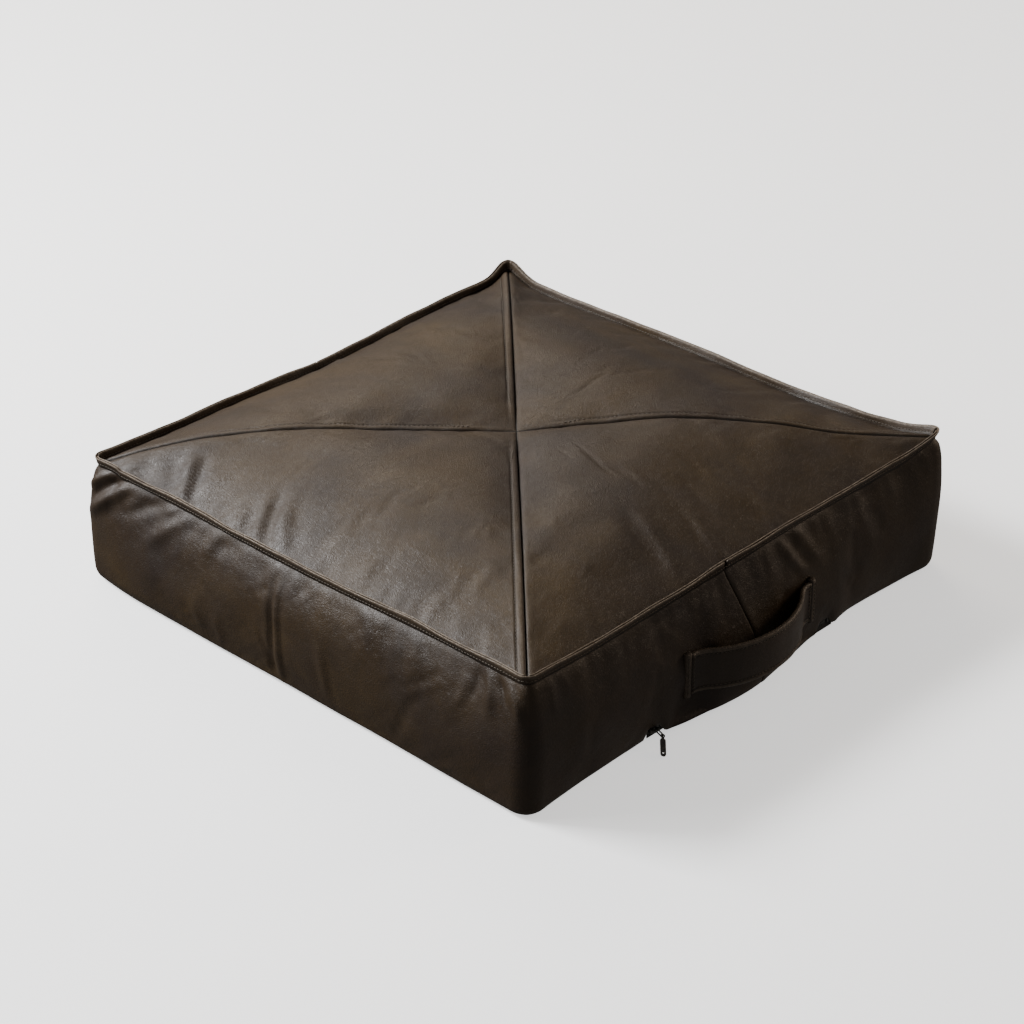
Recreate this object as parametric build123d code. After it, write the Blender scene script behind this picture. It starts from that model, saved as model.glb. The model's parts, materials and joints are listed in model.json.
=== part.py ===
"""Square leather floor cushion with a pieced top, a carry handle and a zip, filled with loose beads.

Frame, millimetres: the origin is the centre of the base on the floor, +Z is up, and -Y is the side
with the handle and the zip. Each function below makes one sub-part or one group of like sub-parts.
"""

from build123d import *
import os
from math import cos, radians, sin

# ---- driving dimensions -------------------------------------------------------------------------
SIDE = 600.0  # corner to corner along one side of the top seam
SEAM_Z = 141.0  # height of the top seam at the corners
SEAM_SAG = 8.0  # how much lower the seam is midway along a side
SEAM_PULL = 6.0  # how far the seam is pulled in midway along a side
CROWN = 30.0  # how far the top's middle stands above the corner seams
LEATHER = 2.0  # thickness of the cover leather
FLANGE_H = 8.0  # height of the turned-up seam flange
LINER_GAP = 1.4  # space between cover and liner
LINER_T = 0.8  # thickness of the liner cloth

# Each level of the side wall: height, half width at the corners, pull at mid side, corner radius
FOOT_LEVEL = (0.0, 303.0, 0.0, 14.0)
ZIP_LEVEL = (30.0, 304.5, 0.0, 13.0)
BELLY_LEVEL = (65.0, 305.0, -1.5, 13.0)
SEAM_LEVEL = (128.0, SIDE / 2, SEAM_PULL, 11.0)
RIM_LEVEL = (185.0, SIDE / 2, SEAM_PULL, 10.0)

STRIP_W = 8.0  # width of the lapped strip along each top seam
STRIP_RISE = 1.2  # how far a lapped strip stands above the panel
THREAD_W = 0.8  # width of a line of stitching
THREAD_RISE = 0.5  # how far stitching stands above the leather
STITCH_INSET = 6.0  # from a seam to its top-stitching

HANDLE_X = 2.0  # middle of the handle along the side
HANDLE_Z = 53.0  # middle of the handle's width
HANDLE_W = 46.0  # width of the strap
HANDLE_T = 5.0  # thickness of the strap
HANDLE_RISE = 33.0  # how far the strap's middle line stands off the side
HANDLE_HALF = 82.0  # half the distance between the sewn ends
HANDLE_SWING_HALF = 60.0  # half the length of strap that is free to swing
TAB_LEN = 20.0  # length of each sewn end
TAB_OUT = 13.0  # how much of it lies beyond the strap
TAB_T = 3.0  # thickness of each sewn end
CORE_T = 2.2  # webbing inside the strap
CORE_W = 40.0
PATCH_T = 1.0  # leather patches inside, behind the sewn ends
END_STITCHES = (2.5, 6.0)  # from the outer end of each sewn end to its stitch lines
SPLIT_GAP = 0.5  # gap in the solids where the free strap meets a fixed end

ZIP_HALF = 139.0  # half the length of the opening that the zip closes
ZIP_Z = 11.0  # height of the line where the teeth meet
ZIP_Y = -302.7  # middle plane of the tapes
TAPE_T = 0.8
TOOTH_PITCH = 2.6
TOOTH_W = 1.1
TOOTH_T = 2.2
TEETH_START = -132.0
TEETH_END = 129.0
SLIDER_X = -132.0  # middle of the slider with the zip closed
SLIDER_LEN = 10.0
SLIDER_H = 10.0
PLATE_T = 1.6
LINK_TILT = 21.0  # the pull rests on the floor, this far below level
LINK_REACH = 6.5
WIRE = 1.0
PULL_TURN = 45.0  # the pull lies turned this far from straight out
PULL_LEN = 25.0
PULL_W = 5.6
PULL_T = 1.2

# ---- values worked out from them ----------------------------------------------------------------
HALF = SIDE / 2
FAR = SIDE  # longer than anything a cutting solid must clear
TOP_Z = 200.0  # above everything
BASE_Z = LEATHER
NOTCH_Z = 20.0  # top of the opening in the band


# ---- helpers ------------------------------------------------------------------------------------
def block(x0, x1, y0, y1, z0, z1):
    """A plain box between two corners."""
    size = (x1 - x0, y1 - y0, z1 - z0)
    middle = ((x0 + x1) / 2, (y0 + y1) / 2, (z0 + z1) / 2)
    return Pos(*middle) * Box(*size)


def level(section, inset):
    """One rounded square of the wall, its sides drawn in (or out) midway between the corners."""
    z, half, pull, radius = section
    half -= inset
    radius = max(radius - inset, 2.0)
    corners = [(-half, -half), (half, -half), (half, half), (-half, half)]
    reach = (half - pull) / half
    sides = []
    for start, end in zip(corners, corners[1:] + corners[:1]):
        if pull == 0:
            sides.append(Line(start, end))
        else:
            middle = ((start[0] + end[0]) / 2 * reach, (start[1] + end[1]) / 2 * reach)
            sides.append(ThreePointArc(start, middle, end))
    face = make_face(sides)
    return Pos(0, 0, z) * fillet(face.vertices(), radius)


def wall(inset):
    """Everything inside the side wall's surface, moved in by inset; its top is left too high."""
    lower = loft([level(FOOT_LEVEL, inset), level(ZIP_LEVEL, inset)], ruled=True)
    upper_levels = [ZIP_LEVEL, BELLY_LEVEL, SEAM_LEVEL, RIM_LEVEL]
    upper = loft([level(s, inset) for s in upper_levels])
    return lower + upper


def dome_height(x, y):
    """Height of the top leather: low and sagging along the seams, crowned in the middle."""
    u2 = (x / HALF) ** 2
    v2 = (y / HALF) ** 2
    rim = SEAM_Z - SEAM_SAG * (1 - u2 * v2)
    return rim + (CROWN + SEAM_SAG) * (1 - u2**2) * (1 - v2**2)


def dome(rise):
    """Everything below the top surface moved up by rise."""
    steps = 22
    reach = HALF + 12
    marks = [reach * (2 * i / steps - 1) for i in range(steps + 1)]
    grid = [[(x, y, dome_height(x, y)) for x in marks] for y in marks]
    skin = Face.make_surface_from_array_of_points(grid, tol=0.05)
    return Pos(0, 0, rise) * Solid.extrude(skin, Vector(0, 0, -TOP_Z * 2))


def prism(points):
    """A tall upright prism over a polygon."""
    base = make_face(Polyline(*points, close=True))
    return Pos(0, 0, -1) * extrude(base, TOP_Z + 1)


def diagonal_strip(turn, near, far, start):
    """A tall slab beside the diagonal at angle turn, between two distances to its left."""
    slab = block(start, FAR, near, far, -1, TOP_Z)
    return Rot(0, 0, turn) * slab


def solids_only(shape, least=0.5):
    """The shape's solids above a least volume, as one compound."""
    kept = [s for s in shape.solids() if s.volume > least]
    return kept[0] if len(kept) == 1 else Compound(children=kept)


# ---- the shared surfaces ------------------------------------------------------------------------
OUTER = wall(0)
INNER = wall(LEATHER)
LIP_IN = wall(2 * LEATHER)
TOP = dome(0)
UNDER_TOP = dome(-LEATHER)
RIM = dome(FLANGE_H)
STRIP_TOP = dome(STRIP_RISE)

# The strap's middle line is an arc that leaves the side's furthest plane and comes back to it
WALL_Y = OUTER.bounding_box().min.Y
STRAP_SAG = HANDLE_RISE - HANDLE_T / 2
STRAP_R = (HANDLE_HALF**2 + STRAP_SAG**2) / (2 * STRAP_SAG)
STRAP_Y = WALL_Y - HANDLE_RISE + STRAP_R

# The seams run from the centre to the corners; each strip is part of the panel on one side of it
NEAR_TURN = -135
RIGHT_TURN = -45
FAR_TURN = 45
LEFT_TURN = 135


def top_panels():
    """Four triangles of leather, each with its seam allowance turned up and its lapped strips."""
    plate = (INNER & TOP) - UNDER_TOP
    lip = ((INNER - LIP_IN) & RIM) - TOP
    skin = plate + lip
    proud = (LIP_IN & STRIP_TOP) - TOP
    centre = (0, 0)
    corners = {
        "near": (-FAR, -FAR),
        "right": (FAR, -FAR),
        "far": (FAR, FAR),
        "left": (-FAR, FAR),
    }
    # panel, its two corners, and for each strip it carries: direction, side of the seam
    layout = {
        "top_panel_front": ("near", "right", []),
        "top_panel_right": ("right", "far", [(RIGHT_TURN, 1)]),
        "top_panel_back": ("far", "left", [(FAR_TURN, 1), (LEFT_TURN, -1)]),
        "top_panel_left": ("left", "near", [(NEAR_TURN, -1)]),
    }
    panels = {}
    for name, (first, second, strips) in layout.items():
        panel = skin & prism([centre, corners[first], corners[second]])
        for turn, side in strips:
            near, far = sorted((0, side * STRIP_W))
            panel = panel + (proud & diagonal_strip(turn, near, far, STRIP_W * 1.5))
        panels[name] = solids_only(panel)
    return panels


def cross_seam_stitching():
    """The top-stitching that holds the lapped strips down."""
    band = (LIP_IN & dome(STRIP_RISE + THREAD_RISE)) - STRIP_TOP
    lines = []
    for turn, side in ((NEAR_TURN, -1), (RIGHT_TURN, 1), (FAR_TURN, 1), (LEFT_TURN, -1)):
        edges = sorted((side * (STITCH_INSET - THREAD_W), side * STITCH_INSET))
        lines += (band & diagonal_strip(turn, *edges, STRIP_W * 1.5 + 1)).solids()
    return {"cross_seam_stitching": Compound(children=lines)}


def edge_flange_stitching():
    """The line of stitching along the foot of the turned-up flange."""
    ring = (LIP_IN - wall(2 * LEATHER + THREAD_RISE)) & dome(STRIP_RISE + 2 * THREAD_W)
    return {"edge_flange_stitching": solids_only(ring - dome(STRIP_RISE + THREAD_W))}


def side_bands():
    """The two lengths of leather round the side; they meet behind the handle and at the back."""
    skin = ((OUTER - INNER) & RIM) - block(-FAR, FAR, -FAR, FAR, -1, BASE_Z)
    skin = skin - block(-ZIP_HALF, ZIP_HALF, -FAR, -HALF / 2, BASE_Z, NOTCH_Z)
    return {
        "side_band_left": solids_only(skin & block(-FAR, 0, -FAR, FAR, 0, TOP_Z)),
        "side_band_right": solids_only(skin & block(0, FAR, -FAR, FAR, 0, TOP_Z)),
    }


def base_panel():
    """The flat leather square that the cushion stands on."""
    return {"base_panel": OUTER & block(-FAR, FAR, -FAR, FAR, 0, BASE_Z)}


def liner_and_filling():
    """The cloth liner, with its own short zip, and the body of beads that fills it."""
    outset = LEATHER + LINER_GAP
    low = LEATHER + 0.4
    recess = block(-ZIP_HALF - 7, ZIP_HALF + 7, -FAR, -HALF + 4, -1, NOTCH_Z + 7)
    recess_in = block(-ZIP_HALF - 8, ZIP_HALF + 8, -FAR, -HALF + 5, -1, NOTCH_Z + 8)
    under = dome(-LEATHER - 0.4)
    filled = dome(-LEATHER - 0.4 - LINER_T)
    above_base = block(-FAR, FAR, -FAR, FAR, low + LINER_T, TOP_Z)
    shell = (wall(outset) & under & block(-FAR, FAR, -FAR, FAR, low, TOP_Z)) - recess
    beads = (wall(outset + LINER_T) & filled & above_base) - recess_in
    sides = (shell & filled & above_base) - beads
    zip_window = block(-110, 110, HALF / 2, FAR, 60, 72)
    return {
        "liner_base_panel": shell - above_base,
        "liner_top_panel": solids_only(shell - filled),
        "liner_side_band": solids_only(sides - zip_window),
        "liner_zip": solids_only(sides & zip_window),
        "bead_filling": solids_only(beads),
    }


def bent_slab(inner_r, outer_r, height, z):
    """A ring about the strap's centre, between two radii, height tall with its middle at z."""
    outline = Circle(outer_r) - Circle(inner_r)
    return Pos(HANDLE_X, STRAP_Y, z) * extrude(outline, height / 2, both=True)


def handle():
    """The strap: a leather tube over webbing, free to swing, and the two ends sewn to the side."""
    z0 = HANDLE_Z - HANDLE_W / 2
    z1 = HANDLE_Z + HANDLE_W / 2
    free_half = HANDLE_SWING_HALF - SPLIT_GAP
    free = block(HANDLE_X - free_half, HANDLE_X + free_half, -FAR, -HALF, z0, z1)
    strap = bent_slab(STRAP_R - HANDLE_T / 2, STRAP_R + HANDLE_T / 2, HANDLE_W, HANDLE_Z)
    core = bent_slab(STRAP_R - CORE_T / 2, STRAP_R + CORE_T / 2, CORE_W, HANDLE_Z) & free
    raised = wall(-TAB_T) - OUTER
    ends = {}
    for name, side in (("handle_end_left", -1), ("handle_end_right", 1)):
        outer_x = HANDLE_X + side * (HANDLE_HALF + TAB_OUT)
        inner_x = outer_x - side * TAB_LEN
        split_x = HANDLE_X + side * HANDLE_SWING_HALF
        tab = raised & block(*sorted((outer_x, inner_x)), -FAR, -HALF, z0, z1)
        ramp = (strap & block(*sorted((outer_x, split_x)), -FAR, -HALF, z0, z1)) - OUTER
        ends[name] = solids_only(tab + ramp, least=50)
    return {"handle_strap": (strap & free) - core, "handle_core": core, **ends}


def handle_sewing():
    """Stitch lines on the sewn ends and along the strap, and the patches inside that back them."""
    z0 = HANDLE_Z - HANDLE_W / 2 + 3
    z1 = HANDLE_Z + HANDLE_W / 2 - 3
    proud = wall(-TAB_T - THREAD_RISE) - wall(-TAB_T)
    inside = (INNER - wall(LEATHER + PATCH_T)) & block(-FAR, FAR, -FAR, -HALF / 2, z0 - 5, z1 + 5)
    lines = []
    patches = []
    for side in (-1, 1):
        for inset in END_STITCHES:
            x = HANDLE_X + side * (HANDLE_HALF + TAB_OUT - inset)
            line = block(x - THREAD_W / 2, x + THREAD_W / 2, -FAR, -HALF, z0, z1)
            lines += (proud & line).solids()
        ends = sorted(HANDLE_X + side * (HANDLE_HALF + past) for past in (TAB_OUT + 5, -12))
        patches += (inside & block(*ends, -FAR, 0, 0, TOP_Z)).solids()
    face_r = STRAP_R + HANDLE_T / 2
    span = block(HANDLE_X - 58, HANDLE_X + 58, -FAR, -HALF, 0, TOP_Z)
    along = []
    for side in (-1, 1):
        z = HANDLE_Z + side * (HANDLE_W / 2 - 3)
        along += (bent_slab(face_r, face_r + THREAD_RISE, THREAD_W, z) & span).solids()
    return {
        "handle_end_stitching": Compound(children=lines),
        "handle_backing_patches": Compound(children=patches),
        "handle_edge_stitching": Compound(children=along),
    }


def zip_fastener():
    """The zip in the foot of the band: two tapes, two rows of teeth, and the stops."""
    y0 = ZIP_Y - TAPE_T / 2
    y1 = ZIP_Y + TAPE_T / 2
    edge = 1.4  # from the teeth's meeting line to each tape's edge
    bite = 1.0  # how far a tooth reaches past the meeting line
    grip = 3.0  # how far a tooth reaches back onto its tape
    tooth_y = (ZIP_Y - TOOTH_T / 2, ZIP_Y + TOOTH_T / 2)
    rows = {"zip_teeth_lower": [], "zip_teeth_upper": []}
    count = int((TEETH_END - TEETH_START) / TOOTH_PITCH)
    for i in range(count):
        x = TEETH_START + i * TOOTH_PITCH
        lower = block(x, x + TOOTH_W, *tooth_y, ZIP_Z - grip, ZIP_Z + bite)
        shifted = x + TOOTH_PITCH / 2
        upper = block(shifted, shifted + TOOTH_W, *tooth_y, ZIP_Z - bite, ZIP_Z + grip)
        rows["zip_teeth_lower"].append(lower)
        rows["zip_teeth_upper"].append(upper)
    end_x = TEETH_END + 1.5
    closed_x = -ZIP_HALF + 0.1
    stops = [
        block(end_x, end_x + 3, *tooth_y, ZIP_Z - grip, ZIP_Z + grip),
        block(closed_x, closed_x + 1.3, *tooth_y, ZIP_Z - grip - 0.5, ZIP_Z - edge),
        block(closed_x, closed_x + 1.3, *tooth_y, ZIP_Z + edge, ZIP_Z + grip + 0.5),
    ]
    return {
        "zip_tape_lower": block(-ZIP_HALF, ZIP_HALF, y0, y1, BASE_Z, ZIP_Z - edge),
        "zip_tape_upper": block(-ZIP_HALF, ZIP_HALF, y0, y1, ZIP_Z + edge, NOTCH_Z),
        "zip_teeth_lower": Compound(children=rows["zip_teeth_lower"]),
        "zip_teeth_upper": Compound(children=rows["zip_teeth_upper"]),
        "zip_stops": Compound(children=stops),
    }


FRONT_Y = ZIP_Y - TOOTH_T / 2 - 0.6  # inner face of the slider's front plate
BACK_Y = ZIP_Y + TOOTH_T / 2 + 0.6
BAIL_Y = FRONT_Y - PLATE_T - 3.0  # middle of the bail that the link hangs on


def zip_slider():
    """Two plates joined by a wedge ahead of the teeth, lips over the teeth, and a bail in front."""
    x0 = SLIDER_X - SLIDER_LEN / 2
    x1 = SLIDER_X + SLIDER_LEN / 2
    z0 = ZIP_Z - SLIDER_H / 2
    z1 = ZIP_Z + SLIDER_H / 2
    front = block(x0, x1, FRONT_Y - PLATE_T, FRONT_Y, z0, z1)
    front = fillet(front.edges().filter_by(Axis.Y), 2.5)
    back = block(x0, x1, BACK_Y, BACK_Y + PLATE_T, z0, z1)
    back = fillet(back.edges().filter_by(Axis.Y), 2.5)
    wedge = block(x0 + 0.2, x0 + 2.4, FRONT_Y, BACK_Y, ZIP_Z - 0.8, ZIP_Z + 0.8)
    slider = front + back + wedge
    for z in (ZIP_Z - 4.4, ZIP_Z + 3.6):
        slider += block(x0 + 2.6, x1 - 2.6, FRONT_Y, FRONT_Y + 0.9, z, z + 0.8)
        slider += block(x0 + 2.6, x1 - 2.6, BACK_Y - 0.9, BACK_Y, z, z + 0.8)
    bar_x = 3.5
    foot_y = FRONT_Y - PLATE_T
    bail = block(SLIDER_X - bar_x, SLIDER_X + bar_x, BAIL_Y - 0.6, foot_y, ZIP_Z - 0.8, ZIP_Z + 0.8)
    gap = block(SLIDER_X - 2.2, SLIDER_X + 2.2, BAIL_Y + 0.6, foot_y, ZIP_Z - 1, ZIP_Z + 1)
    return {"zip_slider": slider + (bail - gap)}


def zip_pull():
    """The wire link on the bail, and the flat pull whose eye hangs on the link."""
    tilt = radians(LINK_TILT)
    outward = Vector(0, -cos(tilt), -sin(tilt))
    upward = Vector(0, -sin(tilt), cos(tilt))
    root = Vector(SLIDER_X, BAIL_Y, ZIP_Z)
    hole_r = 1.3
    rim = SlotCenterToCenter(LINK_REACH, 2 * (hole_r + WIRE))
    ring = Pos(LINK_REACH / 2, 0) * (rim - SlotCenterToCenter(LINK_REACH, 2 * hole_r))
    link = Plane(origin=root, x_dir=outward, z_dir=Vector(1, 0, 0)) * extrude(ring, 0.6, both=True)

    eye = root + outward * (LINK_REACH + hole_r + WIRE / 2)
    turn = radians(PULL_TURN)
    along = outward * cos(turn) + Vector(-sin(turn), 0, 0)
    eye_r = 1.15
    shape = Circle(eye_r + 1.15)
    body = Pos((PULL_LEN + 3) / 2, 0) * SlotOverall(PULL_LEN - 3, PULL_W)
    neck = Pos(3.0, 0) * Rectangle(5.0, 2.3)
    shape = shape + body + neck
    shape = shape - Circle(eye_r) - Pos(PULL_LEN - 4, 0) * Circle(1.1)
    pull = Plane(origin=eye, x_dir=along, z_dir=upward) * extrude(shape, PULL_T / 2, both=True)
    return {"zip_link": link, "zip_puller": pull}


def main():
    """Makes every sub-part and writes one STEP file for each."""
    os.makedirs("parts", exist_ok=True)
    makers = (
        base_panel,
        side_bands,
        top_panels,
        cross_seam_stitching,
        edge_flange_stitching,
        liner_and_filling,
        handle,
        handle_sewing,
        zip_fastener,
        zip_slider,
        zip_pull,
    )
    for make in makers:
        for name, shape in make().items():
            export_step(shape, f"parts/{name}.step")


main()
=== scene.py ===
"""Leather floor cushion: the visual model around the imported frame."""

import json
import math

import bpy
import numpy as np
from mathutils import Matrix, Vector

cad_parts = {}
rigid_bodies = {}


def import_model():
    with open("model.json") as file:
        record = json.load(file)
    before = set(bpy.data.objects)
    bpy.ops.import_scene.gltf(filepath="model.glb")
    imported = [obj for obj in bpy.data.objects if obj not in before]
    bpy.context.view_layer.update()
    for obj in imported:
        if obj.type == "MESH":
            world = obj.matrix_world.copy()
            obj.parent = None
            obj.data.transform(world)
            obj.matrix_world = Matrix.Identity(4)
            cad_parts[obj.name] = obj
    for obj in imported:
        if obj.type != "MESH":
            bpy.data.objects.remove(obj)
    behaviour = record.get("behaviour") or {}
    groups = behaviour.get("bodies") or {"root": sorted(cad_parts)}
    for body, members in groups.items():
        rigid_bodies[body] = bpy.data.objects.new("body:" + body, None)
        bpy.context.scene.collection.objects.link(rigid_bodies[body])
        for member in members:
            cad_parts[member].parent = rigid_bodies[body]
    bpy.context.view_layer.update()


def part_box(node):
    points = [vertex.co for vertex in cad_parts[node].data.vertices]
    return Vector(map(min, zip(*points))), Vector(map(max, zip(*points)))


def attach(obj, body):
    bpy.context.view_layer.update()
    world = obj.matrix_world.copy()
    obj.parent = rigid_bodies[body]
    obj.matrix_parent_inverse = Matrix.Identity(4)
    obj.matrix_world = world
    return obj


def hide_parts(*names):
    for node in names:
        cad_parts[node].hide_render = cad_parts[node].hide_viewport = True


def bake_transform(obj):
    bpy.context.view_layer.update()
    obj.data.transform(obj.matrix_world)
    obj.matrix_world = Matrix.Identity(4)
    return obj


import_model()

MM = 0.001
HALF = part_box("base_panel")[1][0] / MM - 3.0  # half the side at the sewn edge, 300; the base is 3 wider
WALL_Y = -307.03  # outer face of the front wall
EDGE_R = 9.0  # corner radius in plan along the sewn edge
LEATHER = 2.0  # leather thickness
ZIP_HALF = 139.0  # half the length of the zip's opening
SLIDER_STOPS = (-132.0, 123.0)  # where the zip's slider stands at the ends of its run
HANDLE_X = 2.0  # middle of the handle
HANDLE_Z = 53.0
HANDLE_ENDS = 88.0  # from the handle's middle to where its sewn ends start

# Each side runs anticlockwise seen from above: 0 front, 1 right, 2 back, 3 left.
# Corner k is where side k starts.
FRONT, RIGHT, BACK, LEFT = range(4)
ALONG = ((1, 0), (0, 1), (-1, 0), (0, -1))
OUTWARD = ((0, -1), (1, 0), (0, 1), (-1, 0))

# Height of the sewn edge and how far it is pulled in, along each side.
SEAM_Z = (
    ((-300, 139), (-200, 134), (0, 133), (150, 135), (250, 140), (300, 151)),
    ((-300, 151), (-250, 140), (-120, 133), (0, 134), (110, 131), (256, 125), (300, 136)),
    ((-300, 136), (-270, 127), (-200, 130), (0, 127), (100, 130), (200, 129), (300, 130)),
    ((-300, 130), (-282, 131.5), (-271, 131), (-263, 128.2), (-200, 128), (0, 130), (200, 134),
     (300, 139)),
)
SEAM_OUT = (
    ((-300, 0), (-180, -4), (-18, -9), (100, -11), (200, -8), (300, 0)),
    ((-300, 0), (-150, -5), (0, -7), (150, -5), (300, 0)),
    ((-300, 0), (-150, -6), (0, -10), (150, -6), (300, 0)),
    ((-300, 0), (-200, -5), (0, -2), (180, -5), (300, 0)),
)
# How far the foot of the band stands out along each side.
FOOT_OUT = (
    ((-300, 11), (-244, 5), (-200, 3), (-143, 2.5), (-87, 12), (-17, 18), (60, 10),
     (100, 3), (140, 1.5), (175, -3), (255, 1), (300, 5)),
    ((-300, 5), (-180, 8), (-60, 10), (80, 8), (200, 10), (300, 11)),
    ((-300, 11), (-150, 9), (0, 8), (150, 10), (300, 6)),
    ((-300, 6), (-217, 12), (-67, 11.6), (60, 10), (200, 10), (300, 11)),
)
# Height of the four cross seams from the middle, 0, to the corner, 1.
DIAGONAL_Z = (
    ((0, 161), (0.25, 166), (0.5, 167), (0.75, 158), (0.9, 147), (1, 139)),
    ((0, 161), (0.2, 170), (0.38, 176), (0.6, 169), (0.79, 156), (1, 151)),
    ((0, 161), (0.25, 166), (0.5, 167), (0.75, 158), (0.9, 146), (1, 136)),
    ((0, 161), (0.25, 165), (0.5, 167.5), (0.72, 160), (0.88, 146), (1, 130)),
)

# Folds of the top: from x, y to x, y, then height and half width. Below zero is a dent.
TOP_FOLDS = (
    (-39, -204, -74, -283, 3.4, 8), (-58, -204, -92, -283, -2.2, 9),
    (3, -228, -10, -288, 3.2, 7), (-10, -235, -26, -288, -1.8, 8),
    (81, -250, 66, -290, 2.8, 7), (68, -252, 52, -290, -1.5, 8),
    (-103, -258, -109, -296, 1.8, 6), (-164, -258, -168, -297, 1.6, 6),
    (-44, -268, -53, -297, 1.4, 5), (88, -262, 83, -297, 1.5, 5),
    (150, -235, 138, -292, 1.8, 9), (-268, 99, -305, 73, -4.6, 6),
    (-242, 87, -300, 50, -4.8, 7), (-252, 66, -300, 30, 2.6, 7),
    (-246, 210, -303, 177, 5.0, 8), (-240, 196, -305, 162, -4.0, 6),
    (-276, 222, -308, 203, 2.4, 6), (-272, 246, -311, 230, -4.8, 6),
    (-280, 266, -308, 252, 3.0, 6), (-150, 101, -224, 94, -1.4, 4),
    (-25, 42, -120, 140, -2.8, 15), (-262, -60, -300, -74, 1.6, 9),
    (-255, -150, -300, -166, 1.5, 8), (120, 262, 128, 298, 1.8, 9),
    (20, 258, 14, 298, 1.6, 8), (-90, 255, -96, 298, 1.8, 9),
    (262, 236, 296, 246, 2.4, 9), (258, 200, 298, 206, -1.8, 8),
    (256, 120, 298, 116, 1.8, 9), (262, -20, 298, -28, 1.6, 8),
    (250, -150, 298, -162, 1.8, 9),
)
# Folds of the band on each side: from s, z to s, z, then height and half width.
BAND_FOLDS = {
    LEFT: (
        (-24, 108, -22, 18, -3.2, 4), (-15, 112, -13, 16, 2.6, 4),
        (-30, 130, -38, 104, 1.8, 8), (-38, 52, -22, 14, -2.2, 5),
        (44, 72, 50, 20, 1.8, 6), (-101, 40, -96, 12, 1.5, 6),
        (-132, 46, -122, 20, 1.5, 7), (226, 124, 219, 90, 2.2, 6),
        (240, 130, 236, 104, -2.0, 4), (254, 134, 258, 98, 2.8, 6),
        (268, 134, 274, 112, -2.4, 4), (281, 134, 292, 104, 3.2, 6),
        (-234, 134, -294, 82, 4.6, 8), (-200, 133, -237, 97, -3.4, 8),
        (-158, 124, -204, 85, 3.6, 9), (-253, 135, -292, 97, -4.4, 6),
        (-272, 132, -300, 108, 3.2, 5), (-175, 137, -191, 116, 2.4, 6),
        (-86, 134, -104, 114, -1.8, 8), (-110, 128, -124, 96, 1.6, 9),
        (110, 128, 104, 90, 1.2, 10), (168, 126, 160, 92, 1.2, 10),
    ),
    FRONT: (
        (-275, 132, -267, 104, 1.6, 5), (-258, 132, -251, 114, 1.3, 4),
        (58, 134, 68, 119, 2.2, 6), (66, 122, 88, 88, 2.4, 6),
        (78, 126, 98, 92, -1.8, 6), (91, 134, 118, 84, 2.0, 7),
        (186, 124, 196, 70, 1.6, 10), (-110, 118, -100, 84, 1.2, 9),
    ),
    RIGHT: (
        (-220, 128, -206, 84, 1.8, 9), (-60, 122, -52, 76, 1.6, 9),
        (96, 122, 90, 70, 1.8, 10), (228, 118, 240, 74, 2.0, 9),
    ),
    BACK: (
        (-226, 116, -238, 72, 1.8, 9), (-90, 118, -84, 66, 1.6, 10),
        (120, 120, 128, 74, 1.8, 9), (236, 118, 248, 80, 2.0, 9),
    ),
}


# ---- numbers

def hermite(u, step, low, high, slope_low, slope_high):
    """The cubic from low to high with those end slopes, at u from 0 to 1."""
    return (
        (1 + 2 * u) * (1 - u) ** 2 * low
        + u * (1 - u) ** 2 * step * slope_low
        + u * u * (3 - 2 * u) * high
        - u * u * (1 - u) * step * slope_high
    )


def smooth(points, x):
    """A smooth curve through points that doesn't overshoot them."""
    knots = np.array([p[0] for p in points], float)
    values = np.array([p[1] for p in points], float)
    step = np.diff(knots)
    rise = np.diff(values) / step
    slope = np.zeros_like(values)
    slope[0] = rise[0]
    slope[-1] = rise[-1]
    same = rise[1:] * rise[:-1] > 0
    mean = 2 * rise[1:] * rise[:-1] / np.where(same, rise[1:] + rise[:-1], 1)
    slope[1:-1] = np.where(same, mean, 0)
    x = np.clip(np.asarray(x, float), knots[0], knots[-1])
    i = np.clip(np.searchsorted(knots, x, side="right") - 1, 0, len(step) - 1)
    u = (x - knots[i]) / step[i]
    return hermite(u, step[i], values[i], values[i + 1], slope[i], slope[i + 1])


def through(knots, values, g):
    """A smooth curve through values, arrays that share the shape of g."""
    out = np.zeros_like(g)
    count = len(knots)
    slopes = []
    for i in range(count):
        a = max(i - 1, 0)
        b = min(i + 1, count - 1)
        slopes.append((values[b] - values[a]) / (knots[b] - knots[a]))
    for i in range(count - 1):
        step = knots[i + 1] - knots[i]
        here = (g >= knots[i]) & (g <= knots[i + 1])
        u = (g - knots[i]) / step
        curve = hermite(u, step, values[i], values[i + 1], slopes[i], slopes[i + 1])
        out = np.where(here, curve, out)
    return out


def ease(x):
    """0 below 0, 1 above 1, smooth between."""
    x = np.clip(x, 0, 1)
    return x * x * (3 - 2 * x)


def mix(a, b, w):
    return a + (b - a) * w


def ripple(x, seed, period):
    """A smooth irregular wave between about -1 and 1."""
    rng = np.random.default_rng(seed)
    total = 0.0
    for octave in range(3):
        phase = rng.uniform(0, 2 * math.pi)
        stretch = rng.uniform(0.8, 1.25)
        total = total + np.sin(2 * math.pi * x * stretch * 1.8**octave / period + phase) / 1.7**octave
    return total / 1.7


def swell(points, seed, period):
    """Smooth irregular unevenness in space, between about -1 and 1."""
    rng = np.random.default_rng(seed)
    total = 0.0
    for _ in range(9):
        way = rng.normal(size=3)
        way = way / np.linalg.norm(way) * rng.uniform(0.7, 1.5)
        total = total + np.sin(2 * math.pi * (points @ way) / period + rng.uniform(0, 2 * math.pi))
    return total / 4.0


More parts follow.
